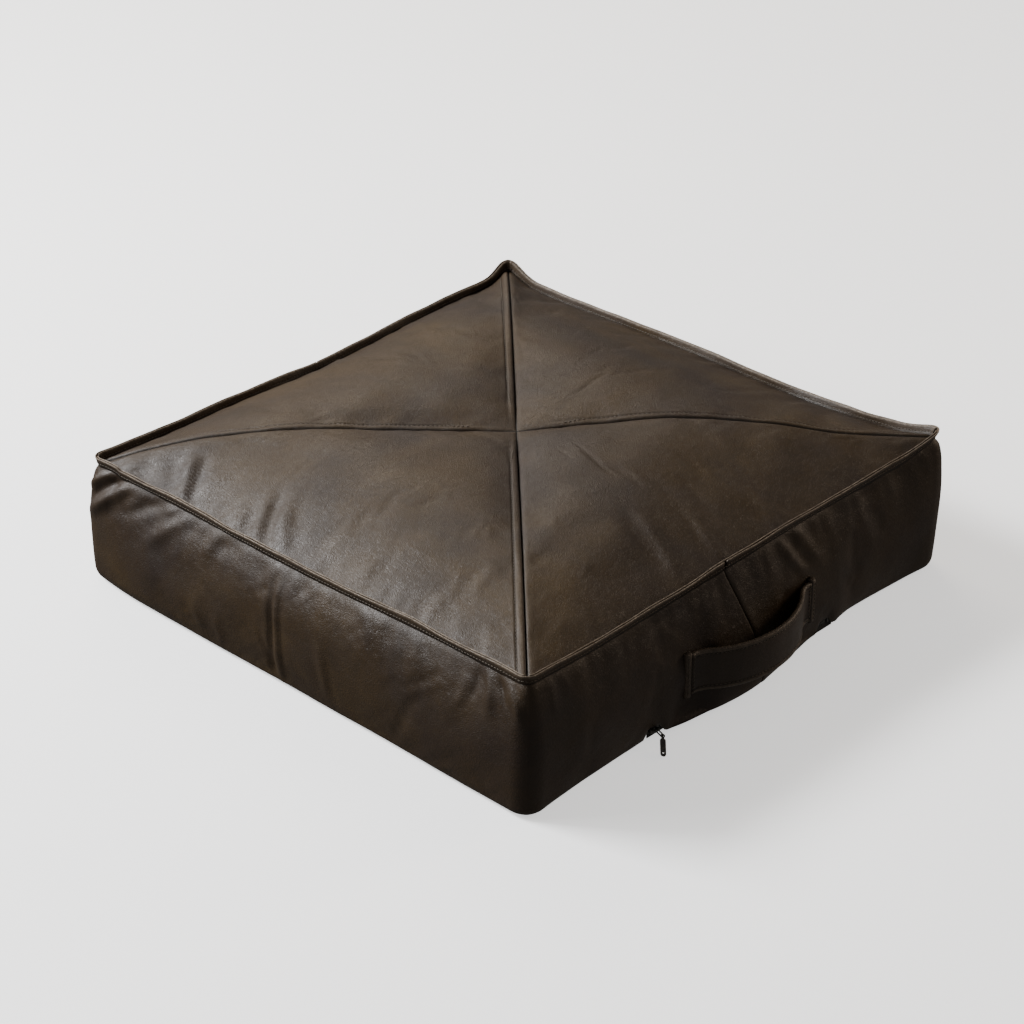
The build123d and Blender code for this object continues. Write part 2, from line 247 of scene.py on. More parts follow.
def sample(field, u, v):
    """Read a (rows, columns, 3) field at u, v from 0 to 1, with a smooth curve between points."""
    rows, columns = field.shape[:2]

    def weights(x, count):
        x = np.clip(x, 0, 1) * (count - 1)
        i = np.clip(np.floor(x).astype(int), 0, count - 2)
        f = x - i
        w = (
            -0.5 * f + f * f - 0.5 * f**3,
            1 - 2.5 * f * f + 1.5 * f**3,
            0.5 * f + 2 * f * f - 1.5 * f**3,
            -0.5 * f * f + 0.5 * f**3,
        )
        return [(np.clip(i + n - 1, 0, count - 1), w[n]) for n in range(4)]

    total = 0.0
    for i, wi in weights(u, rows):
        for j, wj in weights(v, columns):
            total = total + field[i, j] * (wi * wj)[..., None]
    return total


def unit(v):
    return v / np.maximum(np.linalg.norm(v, axis=-1, keepdims=True), 1e-9)


def grid_normals(p):
    """Normals of a grid of points: its way from column to column, crossed with that from row to row."""
    return unit(np.cross(np.gradient(p, axis=1), np.gradient(p, axis=0)))


# ---- meshes

def grid_quads(index):
    """The quads of a grid of point numbers."""
    corners = [index[:-1, :-1], index[:-1, 1:], index[1:, 1:], index[1:, :-1]]
    return np.stack(corners, axis=-1).reshape(-1, 4)


class Piece:
    """Collects grids of points into one mesh.

    Each point has a value that sets its colour: above 0 the leather is painted paler, partly as scuffing
    from use and partly as painted highlight on edges and laps; below 0 it is painted shade in seams,
    grooves and under edges.
    """

    def __init__(self):
        self.points = []
        self.faces = []
        self.wear_and_painted_lights = []
        self.count = 0

    def add(self, points, faces, wear_and_painted_light):
        points = points.reshape(-1, 3)
        self.points.append(points)
        self.faces.append(np.asarray(faces) + self.count)
        self.wear_and_painted_lights.append(np.broadcast_to(wear_and_painted_light, len(points)).astype(float))
        self.count += len(points)

    def grid(self, p, wear_and_painted_light=0.0, wrap=False, flip=False, caps=False):
        """A grid of quads. wrap joins the last column to the first, caps close the end rows."""
        rows, columns = p.shape[:2]
        index = np.arange(rows * columns).reshape(rows, columns)
        if wrap:
            index = np.concatenate([index, index[:, :1]], axis=1)
        quads = grid_quads(index)
        if flip:
            quads = quads[:, ::-1]
        wear_and_painted_light = np.broadcast_to(wear_and_painted_light, p.shape[:2]).reshape(-1)
        start = self.count
        self.add(p, quads, wear_and_painted_light)
        if caps:
            for row, turned in ((0, True), (rows - 1, False)):
                ring = p[row]
                middle = ring.mean(axis=0)[None]
                base = start + row * columns
                self.add(middle, np.zeros((0, 4), int), wear_and_painted_light[:1])
                hub = self.count - 1
                fan = []
                for j in range(columns):
                    a = base + j
                    b = base + (j + 1) % columns
                    fan.append((b, a, hub) if turned != flip else (a, b, hub))
                self.faces.append(np.array(fan))

    def sheet(self, p, thickness, wear_and_painted_light=0.0):
        """A sheet with its good side on the points and its thickness inwards, closed at its rims."""
        inner = p - grid_normals(p) * thickness
        self.shell(p, inner, wear_and_painted_light)

    def shell(self, outer, inner, wear_and_painted_light=0.0):
        """Two grids, back to back, joined round their rims."""
        rows, columns = outer.shape[:2]
        wear_and_painted_light = np.broadcast_to(wear_and_painted_light, outer.shape[:2]).reshape(-1)
        index = np.arange(rows * columns).reshape(rows, columns)
        other = index + rows * columns
        quads = grid_quads(index)
        back = quads[:, ::-1] + rows * columns
        edge = np.concatenate([index[0, :], index[1:, -1], index[-1, -2::-1], index[-2:0:-1, 0]])
        edge2 = np.concatenate([other[0, :], other[1:, -1], other[-1, -2::-1], other[-2:0:-1, 0]])
        rim = np.stack([edge, edge2, np.roll(edge2, -1), np.roll(edge, -1)], axis=-1)
        self.add(
            np.concatenate([outer.reshape(-1, 3), inner.reshape(-1, 3)]),
            np.concatenate([quads, back, rim]),
            np.concatenate([wear_and_painted_light, wear_and_painted_light]),
        )

    def make(self, name, material):
        mesh = bpy.data.meshes.new(name)
        points = np.concatenate(self.points) * MM
        faces = []
        for block in self.faces:
            faces.extend(block.tolist())
        mesh.from_pydata(points.tolist(), [], faces)
        mesh.validate()
        # The per-point colour value: paler for scuffing and painted highlight, darker for painted shade.
        wear_and_painted_light = mesh.attributes.new("wear_and_painted_light", "FLOAT", "POINT")
        wear_and_painted_light.data.foreach_set("value", np.concatenate(self.wear_and_painted_lights).astype(np.float32))
        mesh.polygons.foreach_set("use_smooth", np.ones(len(mesh.polygons), bool))
        mesh.materials.append(material)
        mesh.update()
        obj = bpy.data.objects.new(name, mesh)
        bpy.context.scene.collection.objects.link(obj)
        return obj


def sweep(path, across, up, profile):
    """Points of a profile of (across, up) pairs carried along a path."""
    a = np.array([q[0] for q in profile], float)
    b = np.array([q[1] for q in profile], float)
    return (
        path[:, None, :]
        + across[:, None, :] * a[None, :, None]
        + up[:, None, :] * b[None, :, None]
    )


# ---- shape

def ring(k, s, out, z, r):
    """A point s along side k, out from the nominal side, at height z, with corner radius r."""
    s, out, z, r = np.broadcast_arrays(*(np.asarray(v, float) for v in (s, out, z, r)))
    reach = HALF + out - r
    arc = r * math.pi / 4
    straight = HALF - arc
    run = np.clip(s / straight, -1, 1) * reach
    turn = np.clip((np.abs(s) - straight) / arc, 0, 1) * math.pi / 4 * np.sign(s)
    along = run + r * np.sin(turn)
    away = reach + r * np.cos(turn)
    x = ALONG[k][0] * along + OUTWARD[k][0] * away
    y = ALONG[k][1] * along + OUTWARD[k][1] * away
    return np.stack([x, y, z], axis=-1)


def ridge(px, py, fold):
    """A soft fold along a line, with a shallow hollow on both sides."""
    x0, y0, x1, y1, height, width = fold
    dx = x1 - x0
    dy = y1 - y0
    length = math.hypot(dx, dy)
    along = ((px - x0) * dx + (py - y0) * dy) / length / length
    across = ((px - x0) * dy - (py - y0) * dx) / length
    across = across + 0.25 * width * np.sin(3.1 * along + x0)
    ends = ease((along + 0.3) / 0.6) * ease((1.3 - along) / 0.6)
    crest = np.exp(-((across / width) ** 2))
    hollow = 0.45 * np.exp(-((across / width / 2.2) ** 2))
    return height * ends * (crest - hollow)


# Height beside a cross seam by distance: the seam's dip, the raised lap, the dip of its stitches.
CREASE = ((0, -2.2), (0.4, -1.2), (1.0, 0.7), (3.4, 1.2), (6.2, 0.7), (7.5, -0.7), (9, 0.2), (14, 0))
CREASE_LOW = (
    (0, -2.4), (0.4, -1.6), (1.2, 0.5), (3.4, 0.8), (6.4, 0.3), (7.5, -0.6), (8.8, 0.1), (14, 0),
)
CREASE_PLAIN = ((0, -2.3), (0.4, -1.4), (1.6, -0.2), (4.5, 0.15), (10, 0))


def top_surface(k, s, t):
    """Top panel k at s along its side and t from the middle, 0, to the sewn edge, 1."""
    w = 0.5 + 0.5 * s / HALF
    z0 = smooth(DIAGONAL_Z[k], t)
    z1 = smooth(DIAGONAL_Z[(k + 1) % 4], t)
    corners = mix(DIAGONAL_Z[k][-1][1], DIAGONAL_Z[(k + 1) % 4][-1][1], w)
    edge = smooth(SEAM_Z[k], s) - corners
    bulge = 8.0 * np.maximum(1 - (s / HALF) ** 2, 0) ** 0.8 * np.maximum(4 * t * (1 - t), 0) ** 0.75
    z = mix(z0, z1, w) + edge * t**3 + bulge
    p = ring(k, s, smooth(SEAM_OUT[k], s), z, EDGE_R)
    p[..., 0] *= t
    p[..., 1] *= t
    return p


def top_detail(k, s, t, p):
    """Seams, folds and unevenness of a top panel, as a change of height."""
    size = HALF * t
    near = ease(size / 40)
    fade = np.clip((1 - t) * HALF / 10, 0, 1)
    inside = np.clip(np.minimum(HALF + s, HALF - s) * t / 30, 0, 1) * fade
    lift = np.zeros_like(s)
    starts = {RIGHT: CREASE_LOW, BACK: CREASE}.get(k, CREASE_PLAIN)
    ends = {BACK: CREASE_LOW, LEFT: CREASE}.get(k, CREASE_PLAIN)
    for gap, shape in (((HALF + s) * t, starts), ((HALF - s) * t, ends)):
        away = gap / math.sqrt(2)
        lift = lift + smooth(shape, away) * near
        pucker = np.exp(-(((away - 16) / 12) ** 2)) * ripple(size, 30 + k, 34)
        lift = lift + 0.28 * pucker * near * fade
    for fold in TOP_FOLDS:
        lift = lift + ridge(p[..., 0], p[..., 1], fold) * fade
    gather = np.exp(-(((1 - t) * HALF / 26) ** 2)) * fade
    lift = lift + 0.8 * gather * ripple(s, 50 + k, 46) * ease((HALF - np.abs(s)) / 30)
    lift = lift + 0.9 * swell(p, 5, 150) * inside + 0.3 * swell(p, 6, 55) * inside
    return lift


def zip_part(k, s):
    """1 along the zip, falling to 0 beyond its ends, and 0 on the other sides."""
    return ease((ZIP_HALF + 26 - np.abs(s)) / 24) if k == FRONT else 0 * s


def zip_mouth(s):
    """1 where the slider stands at either end of its run, so the leather is lifted clear of it."""
    mouth = 0.0
    for stop in SLIDER_STOPS:
        mouth = mouth + 1 - ease((np.abs(s - stop) - 6) / 9)
    return mouth


BAND_KNOTS = (0.0, 0.05, 0.16, 0.5, 0.84, 0.95, 1.0)  # where the band's control points are, by g
BAND_RADII = (18, 21, 24, 25, 18, 12, EDGE_R)  # corner radius in plan at each of them


def band_surface(k, s, g):
    """The band on side k at s along it and g from the base seam, 0, to the sewn edge, 1."""
    foot = smooth(FOOT_OUT[k], s)
    top = smooth(SEAM_OUT[k], s)
    zs = smooth(SEAM_Z[k], s)
    zipped = zip_part(k, s)
    lip = mix(4.5, 14.0, zip_mouth(s))
    low = mix(4.0, lip, zipped)
    corner = (s / HALF) ** 4  # all sides agree where this is 1
    roll = mix(15.0 if k == LEFT else 9.0, 9.5, corner)
    low_out = foot + 6
    mid_out = 0.5 * (foot + top) + 8 + 3 * corner
    if k == FRONT:
        # The handle's sewn ends hold the band back, so that it doesn't swell over them.
        pressed = np.exp(-(((np.abs(s - HANDLE_X) - HANDLE_ENDS) / 26) ** 4))
        low_out = mix(low_out, np.minimum(low_out, 8.0), pressed)
        mid_out = mix(mid_out, np.minimum(mid_out, 8.0), pressed)
    controls = (
        (mix(foot - 5, 1.0, zipped), mix(0.8, 17.6, zipped)),
        (foot + 3, low),
        (low_out, low + 13),
        (mid_out, 0.5 * zs),
        (top + roll, zs - 26),
        (top + 0.5 * roll, zs - 8),
        (top + 0.3, zs - 0.3),
    )
    out = through(BAND_KNOTS, [c[0] + 0 * s for c in controls], g)
    z = through(BAND_KNOTS, [c[1] + 0 * s for c in controls], g)
    r = through(BAND_KNOTS, [radius + 0 * s for radius in BAND_RADII], g)
    return ring(k, s, out, z, r)


def band_seam(k, z):
    """Where the upright seam of the band runs, along the side."""
    if k == FRONT:
        return smooth(((0, 2), (20, 6), (53, 2), (90, -8), (134, -22)), z)
    return smooth(((0, -1), (60, 2), (128, 0)), z)


def band_detail(k, s, g, p, seam_s):
    """Folds and unevenness of the band, outwards."""
    z = p[..., 2]
    top = smooth(SEAM_Z[k], s)
    fade = np.clip((top - z) / 9, 0, 1) * np.clip(z / 14, 0, 1)
    lift = np.zeros_like(s)
    for fold in BAND_FOLDS[k]:
        lift = lift + ridge(s, z, fold) * fade
    gather = np.exp(-(((top - z) / 30) ** 2))
    lift = lift + 0.9 * gather * ripple(s, 70 + k, 52) * fade * ease((HALF - np.abs(s)) / 40)
    lift = lift + 1.5 * swell(p, 15, 170) * fade + 0.45 * swell(p, 16, 60) * fade
    if seam_s is not None:
        d = s - seam_s
        lift = lift - 0.9 * np.exp(-((d / 1.0) ** 2)) + 0.4 * np.exp(-(((d - 5) / 3.5) ** 2))
    return lift


# ---- soft relaxing

# Points of the relaxing cloth along a side, from the middle of the top outwards, and up the band.
COARSE_S = 73
COARSE_T = 37
COARSE_G = 19
TOP_START = 0.03  # the top's cloth starts this far from the middle
CLOTH = {
    "quality": 6,
    "mass": 0.25,
    "tension_stiffness": 25,
    "compression_stiffness": 25,
    "shear_stiffness": 12,
    "bending_stiffness": 0.35,
    "tension_damping": 15,
    "compression_damping": 15,
    "shear_damping": 10,
    "air_damping": 3,
    "vertex_group_mass": "pin",
    "vertex_group_shrink": "loose",
    "shrink_min": -0.001,
    "shrink_max": -0.03,
    "use_pressure": True,
    "uniform_pressure_force": 1.6,
}
RELAX_FRAMES = 24
RELAX_LIMIT = 12.0  # no point moves farther than this


def relax():
    """Let the leather bulge and pucker between its seams, and return how far it moved."""
    top = [np.zeros((COARSE_T, COARSE_S, 3)) for _ in range(4)]
    band = [np.zeros((COARSE_G, COARSE_S, 3)) for _ in range(4)]
    cloth = Piece()
    s_line = np.linspace(-HALF, HALF, COARSE_S)
    pins = []
    slack = []
    for k in range(4):
        t, s = np.meshgrid(np.linspace(TOP_START, 1, COARSE_T), s_line, indexing="ij")
        p = top_surface(k, s, t)
        p[..., 2] += swell(p, 90 + k, 70) * 0.7 * np.minimum(1, (1 - t) * 8)
        cloth.grid(p, flip=True)
        held = (t < 0.06) | (t > 0.999) | (np.abs(s) > HALF - 0.1)
        pins.append(held.reshape(-1))
        near = np.minimum((1 - t) * HALF, (HALF - np.abs(s)) * t)
        slack.append(np.exp(-((near / 55) ** 2)).reshape(-1))
    for k in range(4):
        g, s = np.meshgrid(np.linspace(0, 1, COARSE_G), s_line, indexing="ij")
        p = band_surface(k, s, g)
        lean = np.array([OUTWARD[k][0], OUTWARD[k][1], 0.0])
        p = p + lean * (swell(p, 95 + k, 80) * 0.7 * np.sin(math.pi * g))[..., None]
        cloth.grid(p)
        held = (g < 0.08) | (g > 0.999) | (np.abs(s) > HALF - 0.1)
        pins.append(held.reshape(-1))
        slack.append(np.exp(-(((1 - g) * 140 / 50) ** 2)).reshape(-1))
    obj = cloth.make("relaxing_cloth", bpy.data.materials.new("cloth_work"))
    start = np.concatenate(cloth.points)
    held = np.flatnonzero(np.concatenate(pins))
    pin = obj.vertex_groups.new(name="pin")
    pin.add(held.tolist(), 1.0, "REPLACE")
    loose = obj.vertex_groups.new(name="loose")
    amount = np.concatenate(slack)
    for level in range(1, 11):
        chosen = np.flatnonzero(np.round(amount * 10) == level)
        if len(chosen):
            loose.add(chosen.tolist(), level / 10, "REPLACE")
    modifier = obj.modifiers.new("cloth", "CLOTH")
    for key, value in CLOTH.items():
        setattr(modifier.settings, key, value)
    modifier.settings.effector_weights.gravity = 0
    modifier.collision_settings.use_self_collision = False
    modifier.collision_settings.use_collision = False
    modifier.point_cache.frame_start = 1
    modifier.point_cache.frame_end = RELAX_FRAMES
    scene = bpy.context.scene
    for number in range(1, RELAX_FRAMES + 1):
        scene.frame_set(number)
    graph = bpy.context.evaluated_depsgraph_get()
    moved = np.empty(len(start) * 3, np.float32)
    obj.evaluated_get(graph).data.vertices.foreach_get("co", moved)
    shift = moved.reshape(-1, 3) / MM - start
    length = np.linalg.norm(shift, axis=1, keepdims=True)
    limited = RELAX_LIMIT * np.tanh(length / RELAX_LIMIT)
    shift = shift * np.where(length > 0, limited / np.maximum(length, 1e-9), 0)
    print("relax: mean", round(float(length.mean()), 2), "largest", round(float(length.max()), 2))
    at = 0
    for fields, rows in ((top, COARSE_T), (band, COARSE_G)):
        for k in range(4):
            fields[k][:] = shift[at : at + rows * COARSE_S].reshape(rows, COARSE_S, 3)
            at += rows * COARSE_S
    scene.frame_set(1)
    mesh = obj.data
    bpy.data.objects.remove(obj)
    bpy.data.meshes.remove(mesh)
    return top, band


TOP_SHIFT, BAND_SHIFT = relax()


# ---- materials

class Nodes:
    """Short calls for building a material."""

    def __init__(self, name):
        self.material = bpy.data.materials.new(name)
        self.material.use_nodes = True
        self.tree = self.material.node_tree
        self.shader = self.tree.nodes["Principled BSDF"]
        self.coords = self.tree.nodes.new("ShaderNodeTexCoord").outputs["Object"]

    def put(self, sockets, inputs):
        """Set or link the named sockets."""
        for key, value in inputs.items():
            if isinstance(value, bpy.types.NodeSocket):
                self.tree.links.new(value, sockets[key])
            else:
                sockets[key].default_value = value

    def node(self, kind, inputs, **settings):
        made = self.tree.nodes.new("ShaderNode" + kind)
        for key, value in settings.items():
            setattr(made, key, value)
        self.put(made.inputs, inputs)
        return made.outputs

    def noise(self, scale, detail=4.0, rough=0.55, distort=0.0):
        inputs = {"Scale": scale, "Detail": detail, "Roughness": rough, "Distortion": distort}
        return self.node("TexNoise", {"Vector": self.coords, **inputs})["Fac"]

    def cells(self, scale, feature="DISTANCE_TO_EDGE", vector=None):
        inputs = {"Vector": vector or self.coords, "Scale": scale}
        return self.node("TexVoronoi", inputs, feature=feature)["Distance"]

    def wave(self, inputs, direction):
        return self.node("TexWave", inputs, wave_type="BANDS", bands_direction=direction)["Fac"]

    def span(self, value, low, high, to_low=0.0, to_high=1.0):
        inputs = {"From Min": low, "From Max": high, "To Min": to_low, "To Max": to_high}
        return self.node("MapRange", {"Value": value, **inputs})["Result"]

    def sum(self, a, b, how="ADD"):
        return self.node("Math", {0: a, 1: b}, operation=how)[0]

    def times(self, a, b):
        return self.sum(a, b, "MULTIPLY")

    def blend(self, factor, a, b):
        return self.node("Mix", {"Factor": factor, 6: a, 7: b}, data_type="RGBA")[2]

    def bump(self, height, distance, strength=1.0):
        inputs = {"Height": height, "Distance": distance, "Strength": strength}
        return self.node("Bump", inputs)["Normal"]

    def surface(self, inputs):
        """Set or link the shader's sockets, and return the material."""
        self.put(self.shader.inputs, inputs)
        return self.material


def colour(r, g, b):
    return (r, g, b, 1.0)


def shade(c, amount):
    return colour(*(amount * x for x in c[:3]))


def leather(name, dark, warm, worn_and_highlight_colour, roughness=0.46):
    """Leather with cloudy colour and pebble grain, painted paler where the point value is above 0, for
    scuffing and painted highlight, and painted shade where it is below 0.
    """
    n = Nodes(name)
    cloud = n.span(n.noise(7.0, 5.0, 0.6, distort=0.4), 0.34, 0.66)
    mottle = n.span(n.noise(38.0, 6.0, 0.65, distort=0.8), 0.3, 0.75)
    base = n.blend(cloud, dark, warm)
    base = n.blend(n.times(mottle, 0.35), base, shade(dark, 0.62))
    wear_and_painted_light = n.node("Attribute", {}, attribute_name="wear_and_painted_light")["Fac"]
    scuff = n.span(n.noise(260.0, 4.0, 0.7), 0.42, 0.72)
    # Above 0: blend towards the pale colour, partly scuffing and partly painted highlight.
    wear_and_highlight = n.times(wear_and_painted_light, n.sum(scuff, 0.5))
    base = n.blend(n.times(wear_and_highlight, 0.8), base, worn_and_highlight_colour)
    # Below 0: painted shade, near black, in seam creases, stitch grooves and under edges.
    base = n.blend(n.span(wear_and_painted_light, -1.0, 0.0, 0.92, 0.0), base, shade(dark, 0.2))
    wobble = n.node("TexNoise", {"Vector": n.coords, "Scale": 120.0})["Color"]
    bent = n.node("Mix", {"Factor": 0.012, 4: n.coords, 5: wobble}, data_type="VECTOR")[1]
    grain = n.span(n.cells(520.0, vector=bent), 0.0, 0.3)
    fine = n.noise(1500.0, 3.0, 0.6)
    squeezed = n.node("Mapping", {"Vector": bent, "Scale": (1.0, 0.55, 0.8)})["Vector"]
    crease = n.span(n.cells(150.0, vector=squeezed), 0.0, 0.09)
    soft = n.noise(85.0, 5.0, 0.6, distort=1.2)
    pores = n.times(n.sum(1.0, grain, "SUBTRACT"), 0.35)
    rough = n.span(n.noise(22.0, 6.0, 0.6), 0.3, 0.7, roughness - 0.07, roughness + 0.09)
    height = n.sum(n.times(soft, 0.00022), n.times(crease, 0.00006))
    height = n.sum(height, n.times(grain, 0.00012))
    height = n.sum(height, n.times(fine, 0.00004))
    return n.surface({
        "Base Color": n.blend(pores, base, shade(dark, 0.45)),
        "Roughness": n.sum(rough, n.span(grain, 0.0, 1.0, 0.08, 0.0)),
        "Specular IOR Level": 0.35,
        "Normal": n.bump(height, 1.0),
    })


def thread_material(name, main, dark):
    n = Nodes(name)
    twist = n.wave({"Vector": n.coords, "Scale": 900.0, "Distortion": 2.0}, "DIAGONAL")
    return n.surface({
        "Base Color": n.blend(twist, dark, main),
        "Roughness": n.span(n.noise(400.0), 0.3, 0.7, 0.5, 0.7),
        "Normal": n.bump(twist, 0.0001),
    })


def metal_material(name, main, dark, roughness):
    n = Nodes(name)
    tarnish = n.span(n.noise(420.0, 5.0, 0.6), 0.4, 0.7)
    return n.surface({
        "Metallic": 1.0,
        "Base Color": n.blend(tarnish, main, dark),
        "Roughness": n.span(n.noise(900.0, 4.0), 0.3, 0.7, roughness - 0.08, roughness + 0.1),
        "Normal": n.bump(n.noise(1600.0, 3.0), 0.00003, 0.5),
    })


def weave_material(name, main, dark, pitch):
    """Plain weave of threads pitch metres apart: a wave along each axis."""
    n = Nodes(name)
    height = None
    for axis in ((1.0, 0.0, 0.0), (0.0, 1.0, 0.0), (0.0, 0.0, 1.0)):
        turned = n.node("VectorMath", {0: n.coords, 1: axis}, operation="DOT_PRODUCT")["Value"]
        joined = n.node("CombineXYZ", {0: turned})[0]
        wave = n.wave({"Vector": joined, "Scale": 0.314 / pitch}, "X")
        height = wave if height is None else n.times(height, wave)
    return n.surface({
        "Base Color": n.blend(n.times(height, n.noise(300.0)), dark, main),
        "Roughness": 0.85,
        "Normal": n.bump(height, 0.0002),
    })


def bead_material(name, main, dark):
    n = Nodes(name)
    bead = n.cells(260.0, "F1")
    return n.surface({
        # Each bead is painted darker towards its rim: painted shade between the beads.
        "Base Color": n.blend(n.span(bead, 0.2, 0.7), main, dark),
        "Roughness": 0.6,
        "Normal": n.bump(n.span(bead, 0.0, 0.7, 1.0, 0.0), 0.0012),
    })


# The third colour of each leather is its pale tone, used both for scuffing and as painted highlight.
COVER = leather(
    "cover_leather_look",
    colour(0.0172, 0.0096, 0.0056),
    colour(0.042, 0.0240, 0.0070),
    colour(0.20, 0.156, 0.114),
)
STRAP = leather(
    "handle_leather_look",
    colour(0.022, 0.0134, 0.0080),
    colour(0.038, 0.0236, 0.0128),
    colour(0.14, 0.106, 0.074),
    0.44,
)
THREAD = thread_material("thread_look", colour(0.092, 0.071, 0.050), colour(0.034, 0.026, 0.018))
METAL = metal_material("zip_metal_look", colour(0.10, 0.098, 0.095), colour(0.045, 0.043, 0.041), 0.34)
TAPE = weave_material("zip_tape_look", colour(0.016, 0.014, 0.013), colour(0.006, 0.005, 0.005), 0.0006)
LINER = weave_material("liner_look", colour(0.42, 0.40, 0.36), colour(0.22, 0.21, 0.19), 0.0009)
BEADS = bead_material("bead_look", colour(0.85, 0.85, 0.83), colour(0.45, 0.45, 0.44))


# ---- top panels

# Distances from a cross seam at which the top has columns; the stitches lie at STITCH_GAP.
NEAR_SEAM = (0, 0.4, 0.9, 1.8, 3.4, 5.2, 6.4, 7.1, 7.5, 8.0, 9.0, 10.5, 13, 17, 22, 29)
STITCH_GAP = 7.5
MID_COLUMNS = 46


def top_rows():
    inner = 0.002 + 0.998 * np.linspace(0, 1, 84)
    return np.unique(np.concatenate([inner, [0.004, 0.008, 0.985, 0.994]]))


def top_grid(k):
    """The finished points and rub of top panel k."""
    rows = []
    for t in top_rows():
        size = HALF * t
        near = np.array(NEAR_SEAM) * math.sqrt(2) * min(1.0, size / 62)
        middle = np.linspace(near[-1], size, MID_COLUMNS + 1)[1:]
        half = np.concatenate([near, middle])
        s = np.minimum(-HALF + half / t, 0)
        rows.append(np.concatenate([s, -s[-2::-1]]))
    s = np.array(rows)
    t = np.repeat(top_rows()[:, None], s.shape[1], axis=1)
    p = top_surface(k, s, t)
    lift = top_detail(k, s, t, p)
    shift = sample(TOP_SHIFT[k], (t - TOP_START) / (1 - TOP_START), (s + HALF) / (2 * HALF))
    p = p + shift
    p[..., 2] += lift
    away = np.minimum(HALF + s, HALF - s) * t / math.sqrt(2)
    raised = (k == BACK) * (s < 0) + (k == LEFT) * (s > 0)
    # Paler on the lap beside a cross seam: partly scuffing, partly painted highlight.
    wear_and_painted_light = (0.03 + 0.20 * raised) * np.exp(-(((away - 3.2) / 2.0) ** 2)) * ease(t * HALF / 30)
    low_seam = (k == RIGHT) * (s < 0) + (k == BACK) * (s > 0)
    # Painted shade: dark in the cross seam's crease, in the stitch groove and along the foot of the
    # standing edge.
    wear_and_painted_light = wear_and_painted_light - 1.1 * np.exp(-((away / 0.8) ** 2))
    wear_and_painted_light = wear_and_painted_light - 0.45 * (raised + low_seam) * np.exp(-(((away - 7.5) / 0.5) ** 2))
    wear_and_painted_light = wear_and_painted_light - 0.6 * ease((t - 0.985) / 0.012)
    return p, wear_and_painted_light


def loop(first_side, first_s, last_side, last_s, step=3.0):
    """Sides and places along them, anticlockwise from one place to another."""
    found = []
    side = first_side
    while True:
        low = first_s if not found else -HALF
        high = last_s if side % 4 == last_side % 4 and (found or last_s > first_s) else HALF
        places = [low]
        s = low
        while s < high - 0.01:
            fine = abs(s) > 264 or abs(s) < 9
            s = min(high, s + (1.4 if fine else step))
            places.append(s)
        found.append((side % 4, np.array(places)))
        if high == last_s and side % 4 == last_side % 4:
            return found
        side += 1


def seam_path(parts):
    """The sewn edge as points, with its outward way and its length so far."""
    blocks = []
    for k, s in parts:
        use = s if not blocks else s[1:]
        blocks.append(ring(k, use, smooth(SEAM_OUT[k], use), smooth(SEAM_Z[k], use), EDGE_R))
    p = np.concatenate(blocks)
    flat = unit(np.gradient(p, axis=0))
    flat[:, 2] = 0
    flat = unit(flat)
    out = np.stack([flat[:, 1], -flat[:, 0], 0 * flat[:, 0]], axis=-1)
    run = np.concatenate([[0], np.cumsum(np.linalg.norm(np.diff(p, axis=0), axis=1))])
    return p, out, run


# Where the standing edge is taller: at a corner, and by how much.
EARS = (((300, 300), 0.45), ((300, -300), 0.2), ((-300, 300), 0.1))
PLY_HALF = 0.8  # half the thickness of one ply of the standing edge
FIN_H = 8.0  # its height
SEWN_AT = 2.6  # height of the groove that its stitches make


def fin_frame(p, out):
    """The edge's ways, waviness, gap and height depend only on the place, so both plies agree."""
    lean = np.radians(15 + 9 * swell(p, 3, 130))
    up = np.array([0.0, 0.0, 1.0])
    rise = np.cos(lean)[:, None] * up + np.sin(lean)[:, None] * out
    side = np.cos(lean)[:, None] * out - np.sin(lean)[:, None] * up
    wave = 0.8 * swell(p, 4, 80)
    gap = 0.25 + 0.35 * np.abs(swell(p, 8, 70))
    height = 1.1 + 0.05 * swell(p, 9, 50)
    for corner, extra in EARS:
        away = np.hypot(p[:, 0] - corner[0], p[:, 1] - corner[1])
        height = height + extra * np.exp(-((away / 26) ** 2))
    return rise, side, wave, gap, height


def fin_ply(piece, parts, which, trim=0.0):
    """One ply of the standing edge. which is -1 for the top panel's and 1 for the band's."""
    p, out, run = seam_path(parts)
    keep = (run >= trim) & (run <= run[-1] - trim)
    p, out = p[keep], out[keep]
    rise, side, wave, gap, height = fin_frame(p, out)
    top = FIN_H + (0.3 if which > 0 else -0.2)
    half = (
        (1, -5.0), (1, 0.0), (1, 2.0), (0.8, SEWN_AT), (1, 3.4), (1, 5.5),
        (1, top - 1.0), (0.75, top - 0.35), (0.3, top),
    )
    profile = [(-PLY_HALF * a, b) for a, b in half] + [(PLY_HALF * a, b) for a, b in half[::-1]]
    spread = np.array([[ease(max(b, 0) / FIN_H) for _, b in profile]])
    q = sweep(p, side, rise * height[:, None], profile)
    shift = which * (PLY_HALF + 0.08) + (wave[:, None] + which * gap[:, None]) * spread
    q = q + side[:, None, :] * shift[..., None]
    wear_and_painted_light = []
    for _, b in profile:
        tip = max(0.0, min(1.0, (b - top + 1.8) / 1.6))
        # Paler at the edge's top, partly scuffing and partly painted highlight; painted shade at its foot
        # and in its stitch groove.
        wear_and_painted_light.append(0.1 + 0.9 * tip - 0.75 * (b < 1) - 0.3 * (b == SEWN_AT))
    piece.grid(q, wear_and_painted_light=np.array(wear_and_painted_light), wrap=True, caps=True)


